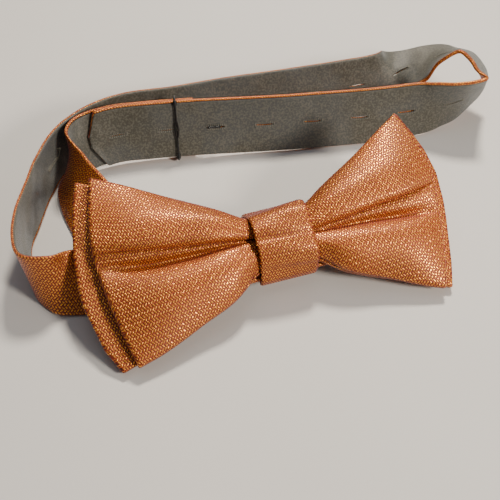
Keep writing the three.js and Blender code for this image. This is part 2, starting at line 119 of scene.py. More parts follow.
class Finish:
    """A material under construction: a principled shader and the nodes that feed it."""

    def __init__(self, name, **constants):
        self.material = bpy.data.materials.new(name)
        self.material.use_nodes = True
        self.tree = self.material.node_tree
        self.shader = self.tree.nodes["Principled BSDF"]
        for socket, value in constants.items():
            self.shader.inputs[socket.replace("_", " ")].default_value = value

    def node(self, kind, settings, values, output=0):
        made = self.tree.nodes.new(kind)
        for name, value in settings.items():
            setattr(made, name, value)
        for place, value in values.items():
            self.feed(made.inputs[place], value)
        return Signal(self, made.outputs[output])

    def feed(self, socket, value):
        if isinstance(value, Signal):
            self.tree.links.new(value.socket, socket)
        else:
            socket.default_value = value

    def mix(self, amount, first, second):
        values = {0: amount, 6: (*first, 1) if isinstance(first, tuple) else first,
                  7: (*second, 1) if isinstance(second, tuple) else second}
        return self.node("ShaderNodeMix", {"data_type": "RGBA"}, values, output=2)

    def cloth_place(self):
        """Where a point lies on the flat cloth, along and across, in millimetres."""
        place = self.node("ShaderNodeUVMap", {"uv_map": "cloth"}, {})
        parts = self.node("ShaderNodeSeparateXYZ", {}, {0: place})
        across = Signal(self, parts.socket.node.outputs[1])
        return parts * 1000, across * 1000

    def object_place(self):
        return self.node("ShaderNodeTexCoord", {}, {}, output="Object")

    def noise(self, place, scale, detail=3):
        return self.node("ShaderNodeTexNoise", {}, {"Vector": place, "Scale": scale, "Detail": detail})

    def set(self, socket, value):
        self.feed(self.shader.inputs[socket], value)

    def relief(self, height, depth, strength=1.0):
        bump = self.node("ShaderNodeBump", {}, {"Height": height, "Distance": depth, "Strength": strength})
        self.feed(self.shader.inputs["Normal"], bump)


def table_top_finish():
    finish = Finish("pale_table", Roughness=0.7)
    cloud = finish.noise(finish.object_place(), 9, 4)
    finish.set("Base Color", finish.mix(cloud, (0.60, 0.59, 0.575), (0.66, 0.65, 0.635)))
    return finish.material


bpy.ops.object.select_all(action="DESELECT")
bpy.ops.mesh.primitive_plane_add(size=6, location=(0, 0, 0))
table = bpy.context.object
table.name = "table"
table.data.materials.append(table_top_finish())


def lamp(name, place, target, size, watts, colour):
    light = bpy.data.lights.new(name, "AREA")
    light.shape = "DISK"
    light.size = size
    light.energy = watts
    light.color = colour
    lamp_object = bpy.data.objects.new(name, light)
    aim = (Vector(target) - Vector(place)).to_track_quat("-Z", "Y")
    lamp_object.matrix_world = Matrix.Translation(place) @ aim.to_matrix().to_4x4()
    bpy.context.scene.collection.objects.link(lamp_object)


lamp("main_lamp", (0.24, 0.44, 0.76), knot, 0.16, 11, (1, 0.90, 0.76))
lamp("front_lamp", (0.46, -0.62, 0.52), knot, 0.2, 8.5, (1, 0.90, 0.78))
lamp("overhead_lamp", (-0.15, 0.1, 1.1), knot, 0.9, 1.6, (0.93, 0.96, 1))

world = bpy.data.worlds.new("studio")
world.use_nodes = True
world.node_tree.nodes["Background"].inputs[0].default_value = (0.86, 0.9, 1, 1)
world.node_tree.nodes["Background"].inputs[1].default_value = 0.09
bpy.context.scene.world = world


# ---- The neckband's long strap ----
# Copper jacquard outside, olive-grey satin lining, and a stiffening ply between them. The face
# cloth turns over one edge as a narrow piping; the other edge is plain. The strap runs from a
# stub behind the right wing through the knot, round the left bend and back over itself.

STRAP_WIDTH = 25
STRAP_HALF = STRAP_WIDTH / 2
STRAP_THICKNESS = 1.6
STRAP_BEHIND_KNOT = 7
KNOT_HEIGHT = 19
COLUMN = 0.7

# Each station: the middle's x and y from the knot, the lower edge's height above the table, and
# the direction from the plain edge to the piped edge.
LONG_ROUTE = [
    (-40, 4, 5.4, 0, -0.87, -0.49),
    (-60, 7, 1.6, 0, -0.8, -0.6),
    (-75, 9, 0, 0.03, -0.6, -0.8),
    (-85, 10, 0.2, 0.1, -0.32, -0.95),
    (-92, 16, 0.2, 0.12, -0.15, -0.98),
    (-93, 27, 0, 0.08, -0.05, -1),
    (-91, 39, 0, 0, 0, -1),
    (-86, 51, 0, 0, 0, -1),
    (-80, 64.5, 0, 0, 0, -1),
    (-71, 78, 0, 0, 0, -1),
    (-57, 87, 0, 0.05, -0.08, -0.99),
    (-40, 90, 0, 0, -0.25, -0.96),
    (-20, 88, 0, 0, -0.38, -0.92),
    (5, 87, 0, 0, -0.4, -0.91),
    (30, 85, 0, 0, -0.4, -0.91),
    (55, 83, 0.3, 0, -0.4, -0.91),
    (76, 82, 1, 0, -0.42, -0.9),
    (87, 82, 12, -0.3, -0.93, -0.2),
    (96, 79, 19, -0.42, -0.9, 0),
    (103, 75, 21, -0.64, -0.7, 0.32),
    (109, 71, 21, -0.66, -0.52, 0.54),
    (112, 65, 18.5, -0.64, -0.47, 0.61),
    (113, 60, 14.5, -0.59, -0.43, 0.68),
    (112, 56, 9.7, -0.3, -0.5, 0.82),
    (106, 55, 6.4, -0.26, -0.36, 0.89),
    (99, 55, 3.5, -0.2, -0.14, 0.96),
    (92, 56.5, 1.6, -0.1, 0.05, 0.98),
    (83, 58.5, 0.3, 0, 0.28, 0.96),
    (65, 61, 0, 0, 0.38, 0.92),
    (45, 64.5, 0, 0, 0.4, 0.91),
    (25, 68, 0.3, 0, 0.41, 0.91),
    (5, 72, 0.7, 0, 0.41, 0.91),
    (-15, 75.5, 1.6, 0, 0.41, 0.91),
    (-32, 78, 2.1, 0, 0.4, 0.91),
    (-46, 79.5, 2.5, 0, 0.38, 0.92),
    (-58, 78, 2.5, 0.1, 0.38, 0.92),
]


def smooth(stations, steps):
    """A smooth curve through rows of numbers, with that many steps between each two."""
    rows = np.array(stations, float)
    rows = np.vstack([2 * rows[0] - rows[1], rows, 2 * rows[-1] - rows[-2]])
    made = []
    for a, b, c, d in zip(rows, rows[1:], rows[2:], rows[3:]):
        for t in np.arange(steps) / steps:
            made.append(0.5 * (2 * b + (c - a) * t + (2 * a - 5 * b + 4 * c - d) * t**2
                               + (3 * b - a - 3 * c + d) * t**3))
    return np.array([*made, rows[-2]])


def unit(vectors):
    return vectors / np.linalg.norm(vectors, axis=-1, keepdims=True)


class Strap:
    """A strap's middle line and its three directions at even steps, in millimetres from the knot."""

    def __init__(self, rows):
        dense = smooth(rows, 12)
        run = np.concatenate([[0], np.cumsum(np.linalg.norm(np.diff(dense[:, :3], axis=0), axis=1))])
        self.length = run[-1]
        self.run = np.linspace(0, self.length, int(self.length / COLUMN) + 1)
        even = np.stack([np.interp(self.run, run, dense[:, k]) for k in range(6)], axis=1)
        self.middle = even[:, :3]
        self.along = unit(np.gradient(self.middle, axis=0))
        across = unit(even[:, 3:])
        self.across = unit(across - (across * self.along).sum(1, keepdims=True) * self.along)
        self.lining = np.cross(self.across, self.along)

    def frame_at(self, run):
        parts = (self.middle, self.along, self.across, self.lining)
        return [np.array([np.interp(run, self.run, part[:, k]) for k in range(3)]) for part in parts]

    def point(self, run, along, across, lining):
        middle, *directions = self.frame_at(run)
        return middle + along * directions[0] + across * directions[1] + lining * directions[2]


def upright_row(x, y, low, across):
    across = unit(np.array(across, float))
    upright = abs(across[2])
    return (x, y, low + upright * STRAP_HALF + (1 - upright) * STRAP_THICKNESS / 2, *across)


def knot_row(x):
    """Where the strap runs straight through the back of the knot."""
    middle = Vector((x, 0, KNOT_HEIGHT)) - STRAP_BEHIND_KNOT * out_of_bow
    return (*middle, 0, -up_bow.y, -up_bow.z)


def in_frame(points):
    """Points in millimetres, from the table under the knot, moved to the tie's own frame."""
    return np.asarray(points, float) * MM + np.array(knot) - np.array((0, 0, KNOT_HEIGHT * MM))


long_strap = Strap([knot_row(x) for x in (44, 20, 0, -20)]
                   + [upright_row(x, y, low, across) for x, y, low, *across in LONG_ROUTE])

HOLE_PITCH = 21
FIRST_HOLE = 12
HOLE_HALF = 4
# Half the opening of each buttonhole, from the tongue back.
HOLE_OPEN = [0.12, 0.1, 0.5, 0.34, 0.32, 0.34, 0.42, 0.3, 0.3, 0.3, 0.28, 0.3, 0.3, 0.32, 0.3,
             0.2, 0.2, 0.2, 0.2]
long_holes = [(long_strap.length - FIRST_HOLE - i * HOLE_PITCH, opening)
              for i, opening in enumerate(HOLE_OPEN)]
TONGUE_SLOPE = 12 / 5.5
TONGUE_TIP = 1.5


def tongue_width(strap):
    """How much of the strap's width is left near its pointed end."""
    reach = TONGUE_TIP + (strap.length - strap.run + 0.5) * TONGUE_SLOPE
    return np.minimum(1, reach / STRAP_HALF)


def full_width(strap):
    return np.ones(len(strap.run))


def ripple(run, across):
    """The slight waviness of pressed cloth, in millimetres along the lining's direction."""
    wave = 0.10 * np.sin(run / 6.3 + 0.21 * across) + 0.07 * np.sin(run / 3.7 - 0.33 * across + 1)
    pucker = 0.05 * np.sin(run / 1.9 + across / 2.2)
    return (wave + pucker) * (1 - (across / STRAP_HALF) ** 2 * 0.5)


def pick(piece):
    """Makes a piece the only one that the next steps work on."""
    bpy.ops.object.select_all(action="DESELECT")
    bpy.context.view_layer.objects.active = piece
    piece.select_set(True)


def turn_outwards(piece):
    """Turns a closed piece's faces outwards and smooths its shading."""
    pick(piece)
    bpy.ops.object.mode_set(mode="EDIT")
    bpy.ops.mesh.select_all(action="SELECT")
    bpy.ops.mesh.normals_make_consistent(inside=False)
    bpy.ops.object.mode_set(mode="OBJECT")
    bpy.ops.object.shade_smooth()


def mesh_piece(name, points, faces, finish):
    """A piece made of points in millimetres and the faces between them."""
    mesh = bpy.data.meshes.new(name)
    mesh.from_pydata(in_frame(points).tolist(), [], faces)
    mesh.materials.append(finish)
    piece = bpy.data.objects.new(name, mesh)
    bpy.context.scene.collection.objects.link(piece)
    return piece


def cloth_piece(name, points, uvs, faces, finish, thickness):
    """A piece of cloth from one layer of points in millimetres, given its thickness inwards."""
    piece = mesh_piece(name, points, faces, finish)
    layer = piece.data.uv_layers.new(name="cloth")
    corners = np.zeros(len(piece.data.loops), np.int32)
    piece.data.loops.foreach_get("vertex_index", corners)
    layer.uv.foreach_set("vector", (np.array(uvs)[corners] * MM).astype(np.float32).ravel())
    pick(piece)
    if thickness:
        wall = piece.modifiers.new("thickness", "SOLIDIFY")
        wall.thickness = thickness * MM
        wall.offset = -1
        bpy.ops.object.modifier_apply(modifier=wall.name)
    bpy.ops.object.shade_smooth()
    return piece


def ply(name, strap, section, holes, width, finish, thickness, spare=0.0, piped_rows=0):
    """One ply of a strap: its section's points (across, towards the lining) swept along the strap.
    The row at across = 0 is split and drawn apart at each buttonhole. The first piped_rows rows
    are the piping, which is trimmed away where the strap narrows to its tongue."""
    middle_row = next(i for i, (a, _) in enumerate(section) if a == 0)
    side = np.sign(section[-1][0] - section[middle_row - 1][0]) if middle_row else 1
    opening = np.zeros(len(strap.run))
    for run, half_open in holes:
        away = (strap.run - run) / HOLE_HALF
        opening = np.maximum(opening, (half_open + spare) * np.sqrt(np.clip(1 - away**2, 0, 1)))
    columns = len(strap.run)
    points, uvs, index = [], [], {}
    lines = [(i, 0) for i in range(middle_row)] + [(middle_row, -side), (middle_row, side)] \
        + [(i, 0) for i in range(middle_row + 1, len(section))]
    taper = width(strap)
    arc = np.concatenate([[0], np.cumsum(np.linalg.norm(np.diff(np.array(section), axis=0), axis=1))])
    for line, (i, half) in enumerate(lines):
        a, c = section[i]
        drawn = np.sign(a) if half == 0 else half
        across = a * taper + drawn * opening * math.exp(-(a / 1.4) ** 2)
        sunk = np.clip((1 - taper) * 8, 0, 1) if i < piped_rows else 0
        height = c * (1 - 0.75 * sunk) + ripple(strap.run, a)
        where = strap.middle + across[:, None] * strap.across + height[:, None] * strap.lining
        for j in range(columns):
            if half == side and opening[j] <= 0:
                index[line, j] = index[line - 1, j]
                continue
            index[line, j] = len(points)
            points.append(where[j])
            uvs.append((strap.run[j], arc[i]))
    faces = []
    for line in range(len(lines) - 1):
        if lines[line][0] == lines[line + 1][0]:
            continue
        for j in range(columns - 1):
            faces.append((index[line, j], index[line + 1, j], index[line + 1, j + 1], index[line, j + 1]))
    return cloth_piece(name, points, uvs, faces, finish, thickness)


def jacquard_finish():
    """Copper jacquard: rows of slanted gold flecks in a zigzag, brighter along a wider net, with a painted
    mauve sheen where the cloth is seen at a grazing angle.
    """
    finish = Finish("copper_jacquard", Sheen_Weight=0.12, Sheen_Roughness=0.3,
                    Sheen_Tint=(0.78, 0.34, 0.46, 1))
    along, across = finish.cloth_place()
    row = across / 1.2
    row_place = row.math("FRACT") - 0.5
    odd = (row.math("FLOOR") / 2).math("FRACT") * 2
    slanted = along / 1.06 + row_place * (odd * 1.1 - 0.55) + odd * 0.5
    cell = (slanted.math("FRACT") - 0.5).math("ABSOLUTE")
    fleck = (1 - cell.step(0.14, 0.38)) * (1 - row_place.math("ABSOLUTE").step(0.26, 0.50))
    down = along / 2.7 + across / 2.4
    rise = along / 2.7 - across / 2.4
    off_down = (down.math("FRACT") - 0.5).math("ABSOLUTE")
    off_rise = (rise.math("FRACT") - 0.5).math("ABSOLUTE")
    net = 1 - off_down.step(0.06, 0.34) * off_rise.step(0.06, 0.34)
    glint = fleck * (0.25 + net * 0.75)
    gap = cell.step(0.30, 0.46) * (0.7 + (1 - net) * 0.3)
    uneven = finish.noise(finish.object_place(), 420, 3)
    shade = finish.noise(finish.object_place(), 30, 2)
    ground = finish.mix(shade.step(0.35, 0.65), (0.24, 0.022, 0.006), (0.34, 0.043, 0.009))
    body = finish.mix(gap, ground, (0.035, 0.004, 0.005))
    colour = finish.mix(glint * (0.25 + uneven * 1.2), body, (1.0, 0.43, 0.06))
    # Painted sheen: the base colour turns mauve towards grazing view angles, standing in for the cloth's
    # mauve sheen.
    painted_grazing_sheen = finish.node("ShaderNodeLayerWeight", {}, {"Blend": 0.35}, output="Facing")
    finish.set("Base Color", finish.mix(painted_grazing_sheen.step(0.3, 1) * 0.7, colour, (0.34, 0.075, 0.11)))
    finish.set("Roughness", 0.52 - glint * 0.24)
    finish.set("Metallic", 0.25 + glint * 0.45)
    finish.relief(glint * 0.9 + uneven * 0.15, 0.00016, 0.8)
    return finish.material


def satin_finish():
    """Olive-grey satin: a fine twill with soft cloudy shading."""
    finish = Finish("olive_satin", Sheen_Weight=0.25, Sheen_Roughness=0.5, Sheen_Tint=(0.55, 0.62, 0.72, 1))
    along, across = finish.cloth_place()
    twill = ((along + across) * (2 * math.pi / 0.42)).math("SINE") * 0.5 + 0.5
    grain = finish.noise(finish.object_place(), 1300, 3)
    cloud = finish.noise(finish.object_place(), 32, 3)
    dents = finish.noise(finish.object_place(), 95, 2)
    pale = finish.mix(cloud.step(0.38, 0.62), (0.050, 0.047, 0.034), (0.060, 0.065, 0.066))
    colour = finish.mix(twill * 0.15 + grain.step(0.42, 0.64) * 0.6, pale, (0.150, 0.142, 0.112))
    finish.set("Base Color", colour)
    finish.set("Roughness", 0.38 + grain * 0.2)
    finish.relief(dents * 1.0 + grain * 0.12 + twill * 0.05, 0.0011, 0.55)
    return finish.material


def interlining_finish():
    """Undyed woven interlining: a plain weave of thick threads."""
    finish = Finish("interlining", Roughness=0.9)
    along, across = finish.cloth_place()
    warp = (along * (2 * math.pi / 0.5)).math("SINE") * 0.5 + 0.5
    weft = (across * (2 * math.pi / 0.5)).math("SINE") * 0.5 + 0.5
    finish.set("Base Color", finish.mix(warp * weft, (0.46, 0.43, 0.36), (0.66, 0.63, 0.55)))
    finish.relief(warp * weft, 0.0001)
    return finish.material


copper_jacquard = jacquard_finish()
olive_satin = satin_finish()
stiff_ply = interlining_finish()

FACE_LEVEL = -0.8
LINING_LEVEL = 0.8
PIPING_INNER = STRAP_HALF - 1.0
FACE_CLOTH, STIFF_CLOTH, LINING_CLOTH = 0.28, 0.3, 0.25
# How much wider than the lining's slit each buttonhole is cut in the face and in the stiffening.
FACE_SPARE, STIFF_SPARE = 0.1, 0.6


def level_rows(first, last, level, count):
    """Evenly spread section points at one level, with one exactly at the strap's middle."""
    values = np.linspace(first, last, count)
    values[np.abs(values).argmin()] = 0
    return [(float(value), level) for value in values]


face_section = [(PIPING_INNER, 0.48), (PIPING_INNER + 0.12, 0.74), (STRAP_HALF - 0.62, 0.86),
                (STRAP_HALF - 0.22, 0.62), (STRAP_HALF, 0.12), (STRAP_HALF - 0.08, -0.42),
                *level_rows(STRAP_HALF - 0.5, -STRAP_HALF + 0.5, FACE_LEVEL, 27),
                (-STRAP_HALF + 0.06, -0.5), (-STRAP_HALF, -0.05), (-STRAP_HALF + 0.12, 0.3)]
lining_section = [(-STRAP_HALF + 0.16, 0.34), (-STRAP_HALF + 0.32, 0.66),
                  *level_rows(-STRAP_HALF + 0.75, STRAP_HALF - 1.7, LINING_LEVEL, 25),
                  (STRAP_HALF - 1.3, 0.72), (STRAP_HALF - 1.06, 0.48)]
stiff_section = level_rows(-STRAP_HALF + 0.8, STRAP_HALF - 1.9, 0.12, 15)


def strap_plies(name, strap, holes, width):
    """The three plies of a strap, sewn together: each rides on the neckband."""
    face = ply(f"{name}_face_cloth", strap, face_section, holes, width, copper_jacquard, FACE_CLOTH,
               FACE_SPARE, piped_rows=4)
    stiff = ply(f"{name}_stiffening", strap, stiff_section, holes, width, stiff_ply, STIFF_CLOTH,
                STIFF_SPARE)
    satin = ply(f"{name}_satin_lining", strap, lining_section, holes, width, olive_satin, LINING_CLOTH)
    for piece, node, slot, cut in (
            (face, f"{name}_face", "face_cloth", STRAP_WIDTH + 3.5),
            (stiff, f"{name}_interlining", "stiffener", STRAP_WIDTH - 2.7),
            (satin, f"{name}_lining", "lining_cloth", STRAP_WIDTH - 1)):
        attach(piece, "neckband")
        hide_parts(node)
        cut * MM


strap_plies("long_strap", long_strap, long_holes, tongue_width)


# ---- The neckband's short strap ----
# The same three plies. It lies behind the long strap's end, turns over at the upper left and
# runs down under the left wing with its copper side up.

STRAPS_APART = 2.2
HOOKED_HOLE = 2
SHORT_ROUTE = [
    (-65.5, 75, 2, 0.25, 0.4, 0.88),
    (-68.5, 69, 1, 0.4, 0.2, 0.88),
    (-68.5, 62, 0.3, 0.55, 0.05, 0.83),
    (-66.5, 54, 0, 0.7, 0.1, 0.7),
    (-63, 44, 0, 0.85, 0.15, 0.5),
    (-60, 35, 0.2, 0.95, 0.2, 0.25),
    (-58, 28, 1, 0.98, 0.18, 0.1),
]
short_start = long_strap.length - FIRST_HOLE - HOOKED_HOLE * HOLE_PITCH + 9.2


def lap_row(share):
    """Where the short strap follows the long one, on its copper side."""
    run = short_start + (long_strap.length - short_start) * share
    return (*long_strap.point(run, 0, 0, -STRAPS_APART), *long_strap.frame_at(run)[2])


short_strap = Strap([lap_row(i / 4) for i in range(5)]
                    + [upright_row(x, y, low, across) for x, y, low, *across in SHORT_ROUTE])
strap_plies("short_strap", short_strap, [], full_width)


# ---- The buttonholes' stitches ----
# Each buttonhole is worked with short stitches of pale olive thread, side by side above and
# below the slit, on both faces of the strap, and closed by a bar across each end.

STITCH_PITCH = 0.86
STITCH_SIDES = 5
STITCH_THICKNESS = 0.19


def thread_finish(name, colour, twist_pitch):
    finish = Finish(name, Roughness=0.75, Sheen_Weight=0.3)
    place = finish.object_place()
    fuzz = finish.noise(place, 5200, 2)
    strands = finish.noise(place, 1 / (twist_pitch * MM), 2)
    dark = tuple(0.55 * part for part in colour)
    finish.set("Base Color", finish.mix(strands.step(0.35, 0.65) * 0.7 + fuzz * 0.3, dark, colour))
    finish.relief(strands + fuzz * 0.4, 0.00006)
    return finish.material


def stitch(centre, ends, rise, out):
    """A short bowed thread between two points, raised in its middle: (points, faces)."""
    start, end = ends
    line = end - start
    side = unit(np.cross(line, out))
    points, faces = [], []
    for t, thick in ((0, 0.5), (0.2, 1), (0.5, 1.1), (0.8, 1), (1, 0.5)):
        middle = start + line * t + out * rise * math.sin(math.pi * t)
        for k in range(STITCH_SIDES):
            angle = 2 * math.pi * k / STITCH_SIDES
            round_it = math.cos(angle) * side + math.sin(angle) * out
            points.append(centre + middle + thick * STITCH_THICKNESS * round_it)
    for ring in range(4):
        for k in range(STITCH_SIDES):
            a, b = ring * STITCH_SIDES + k, ring * STITCH_SIDES + (k + 1) % STITCH_SIDES
            faces.append((a, a + STITCH_SIDES, b + STITCH_SIDES, b))
    faces.append(tuple(range(STITCH_SIDES)))
    faces.append(tuple(reversed(range(4 * STITCH_SIDES, 5 * STITCH_SIDES))))
    return points, faces


def worked_buttonholes(strap, holes):
    points, faces = [], []

    def add(run, ends, level, side_out):
        middle, along, across, lining = strap.frame_at(run)
        (a0, c0), (a1, c1) = ends
        start, end = along * a0 + across * c0, along * a1 + across * c1
        centre = middle + lining * (level + ripple(run, (c0 + c1) / 2))
        new_points, new_faces = stitch(centre, (start, end), 0.14, lining * side_out)
        faces.extend(tuple(i + len(points) for i in face) for face in new_faces)
        points.extend(new_points)

    for number, (run, half_open) in enumerate(holes):
        for level, side_out, spare in ((LINING_LEVEL, 1, 0), (FACE_LEVEL, -1, FACE_SPARE)):
            for k in range(-4, 5):
                lean = 0.1 * math.sin(7.1 * k + number)
                inner = (half_open + spare) * math.sqrt(1 - (k * STITCH_PITCH / HOLE_HALF) ** 2) + 0.02
                for side in (-1, 1):
                    reach = side * (inner + 0.78 + 0.1 * math.sin(3.3 * k + 2 * side + number))
                    add(run + k * STITCH_PITCH, ((0, side * inner), (lean, reach)), level, side_out)
            for end in (-1, 1):
                add(run + end * (HOLE_HALF + 0.05), ((0, -0.75), (0.05 * end, 0.75)), level, side_out)
    piece = mesh_piece("buttonhole_stitches", points, faces,
                       thread_finish("olive_thread", (0.24, 0.23, 0.18), 0.2))
    turn_outwards(piece)
    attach(piece, "neckband")


worked_buttonholes(long_strap, long_holes)


# ---- The bows ----
# Two sleeves of copper jacquard, each folded flat round its interlining, one behind the other.
# Both are drawn together by a thread in the middle, and each wing of the front one keeps a
# deep pleat that opens towards its end.

BOW_CLOTH = 0.35
WING_SPAN = 50.5
WING_RATIO = 29.2 / WING_SPAN
PINCH_EDGE = 9.8
PINCH_LENGTH = 9.5

# Sections of the front bow's front, from its bottom edge to its top one: (up the bow, out of it).
# Each belongs to a distance out from the knot's middle.
LEFT_PLEAT = {
    0: [(-9.0, -1.2), (-8.8, 0.4), (-7, 1.6), (-4.5, 2.3), (-1.2, 1.9), (0.6, 0.6), (0.9, 0.5),
        (1.3, 0.5), (1.9, 0.3), (1.7, 1.3), (3.4, 2.4), (5.6, 2.2), (8, 1.2), (9.0, -0.6)],
    11: [(-9.3, -2.0), (-9.0, -0.9), (-6.8, 1.4), (-4.2, 2.3), (-1.0, 2.1), (0.9, 0.5), (1.3, 0.3),
         (1.7, 0.2), (2.6, 0.0), (1.8, 1.6), (3.9, 3.2), (6.6, 2.9), (9.4, 1.4), (10.6, -0.6)],
    20: [(-17, -0.6), (-16.2, 1.0), (-12, 3.4), (-6, 4.6), (-1, 3.2), (1.2, 0.0), (1.9, 0.6),
         (2.7, 0.9), (4.6, 0.4), (2.6, 1.9), (4.2, 5.0), (10, 5.5), (14.6, 2.4), (16, 0)],
    35: [(-23.9, -0.6), (-22.8, 1.0), (-17, 3.8), (-9, 5.6), (-2.6, 3.8), (0.9, -0.4), (2.4, 1.4),
         (3.9, 2.2), (7.2, 1.7), (4.5, 2.9), (6.2, 6.2), (14, 6.8), (21.5, 3.0), (24.6, 0)],
    52: [(-30.8, -0.6), (-29.6, 0.9), (-22, 3.0), (-11, 4.6), (-3, 3.4), (2.2, 0.0), (4.4, 2.0),
         (7.0, 3.1), (10.4, 2.2), (7.6, 3.7), (9.8, 6.1), (19, 5.7), (29, 2.1), (34.6, 0)],
    60: [(-33, -0.6), (-32, 0.6), (-24, 1.6), (-12, 2.5), (-2, 2.3), (4.0, 0.7), (6.8, 1.9),
         (9.4, 2.6), (11.6, 1.9), (9.6, 3.1), (12.6, 4.4), (22, 3.2), (32, 1.2), (38.6, 0)],
}
RIGHT_PLEAT = {
    0: LEFT_PLEAT[0],
    11: [(-9.7, -1.8), (-9.4, -0.6), (-7.2, 1.7), (-4.8, 2.6), (-2.0, 2.2), (-0.6, 0.8), (-0.3, 0.5),
         (0.1, 0.3), (1.0, 0.1), (0.3, 1.5), (2.6, 3.1), (6.2, 2.9), (9.4, 1.4), (10.6, -0.6)],
    20: [(-17, -0.6), (-16, 1.2), (-11.5, 3.9), (-6, 4.3), (-2.6, 2.7), (-1.0, 0.1), (-0.2, 0.7),
         (0.7, 1.0), (2.6, 0.4), (0.7, 2.0), (2.6, 4.9), (9.0, 5.6), (14.2, 2.5), (16, 0)],
    35: [(-23.9, -0.6), (-22.6, 1.0), (-16, 4.1), (-8.6, 5.4), (-4.0, 3.2), (-1.6, -0.2), (0.2, 1.7),
         (2.2, 2.4), (5.0, 1.8), (2.6, 3.1), (4.6, 6.1), (13, 6.5), (21.5, 2.7), (24.6, 0)],
    52: [(-30.8, -0.6), (-29.5, 0.9), (-21, 3.4), (-11.5, 4.8), (-5.8, 3.4), (-3.2, 0.3), (-0.2, 2.5),
         (3.6, 3.4), (7.2, 2.6), (5.0, 3.9), (7.6, 6.0), (18, 5.4), (29, 2.1), (34.6, 0)],
    60: [(-33, -0.6), (-32, 0.6), (-23, 1.7), (-13, 2.6), (-6, 2.2), (-4.0, 1.3), (1, 2.3),
         (5.4, 3.0), (8.4, 1.8), (6.8, 3.0), (12, 3.8), (21, 3.0), (32, 1.2), (38.6, 0)],
}
for pleat in (LEFT_PLEAT, RIGHT_PLEAT):
    tied = [(up, -0.6 + 0.25 * (front + 1.2)) for up, front in pleat[0]]
    pleat[0], pleat[3.5] = tied, tied
# How far out each wing's end lies at heights up the bow, front and back bow.
END_HEIGHTS = (-33, -24, -7, 0, 12, 22, 30, 39)
FRONT_LEFT_END = (61, 63.1, 66.2, 67, 67.6, 66.2, 64.4, 62.2)
FRONT_RIGHT_END = (54.4, 56.8, 60.6, 61.8, 63.0, 62.1, 60.4, 57.8)
BACK_LEFT_END = (66.7, 71, 74.7, 75, 74, 72.2, 70.4, 67.6)
BACK_RIGHT_END = (58.0, 60.8, 64.8, 66.1, 67.1, 65.8, 63.2, 59.6)
END_DISTANCE = 60


def on_bow(points):
    """Points given along the bow, up it and out of it, in millimetres from the table under the knot."""
    places = np.asarray(points, float)
    return np.array((0, 0, KNOT_HEIGHT)) + places[:, :1] * np.array((1, 0, 0)) \
        + places[:, 1:2] * np.array(up_bow) + places[:, 2:] * np.array(out_of_bow)


def smooth_row(values, count):
    """A smooth curve through points, as that many points spread evenly by number."""
    curve = smooth(values, 8)
    at = np.linspace(0, len(curve) - 1, count)
    return np.stack([np.interp(at, np.arange(len(curve)), curve[:, k])
                     for k in range(curve.shape[1])], axis=1)


def plain_front(level):
    """A gently crowned front without a pleat, for the back bow and the inner plies."""
    sections = {}
    for out in (0, 11, 20, 35, 52, 60):
        top = PINCH_EDGE + max(0, out - PINCH_LENGTH) * WING_RATIO - (1 if out < 12 else 0)
        bottom = -PINCH_EDGE + (1 if out < 12 else 0)
        bottom -= 23.2 * (max(0, out - PINCH_LENGTH) / WING_SPAN) ** 0.75
        crown = 0.5 * min(1, max(0, out - PINCH_LENGTH) / 8) * (1 - 0.6 * out / 60)
        heights = np.linspace(bottom, top, 14)
        shares = np.linspace(-1, 1, 14)
        sections[out] = [(v, level + crown * (1 - share**2)) for v, share in zip(heights, shares)]
    return sections


def wing_rows(sections, out_count, row_count):
    """Smooth (distance out, up, front) points between a wing's sections."""
    outs = sorted(sections)
    table = np.array([smooth_row(sections[out], row_count) for out in outs])
    at = np.linspace(0, END_DISTANCE, out_count)
    rows = np.zeros((out_count, row_count, 3))
    slopes = np.gradient(table, outs, axis=0)
    for i, out in enumerate(at):
        k = min(max(np.searchsorted(outs, out) - 1, 0), len(outs) - 2)
        gap = outs[k + 1] - outs[k]
        t = (out - outs[k]) / gap
        rows[i, :, 0] = out
        rows[i, :, 1:] = ((2 * t**3 - 3 * t**2 + 1) * table[k] + (t**3 - 2 * t**2 + t) * gap * slopes[k]
                          + (3 * t**2 - 2 * t**3) * table[k + 1] + (t**3 - t**2) * gap * slopes[k + 1])
    return rows


def gathers(out, up, edge):
    """Soft folds that fan out of the knot and die away along the wing."""
    share = up / np.maximum(edge, 1)
    fade = np.clip((out - 8) / 5, 0, 1) * np.exp(-np.maximum(0, out - 12) / 11)
    slow = 0.22 * np.sin(out / 9.5 + up / 6.1) * np.clip(out / 25, 0, 1) * (1 - share**2)
    return fade * 0.55 * np.sin(share * 9.5 + 0.6) * (1 - share**2) + slow


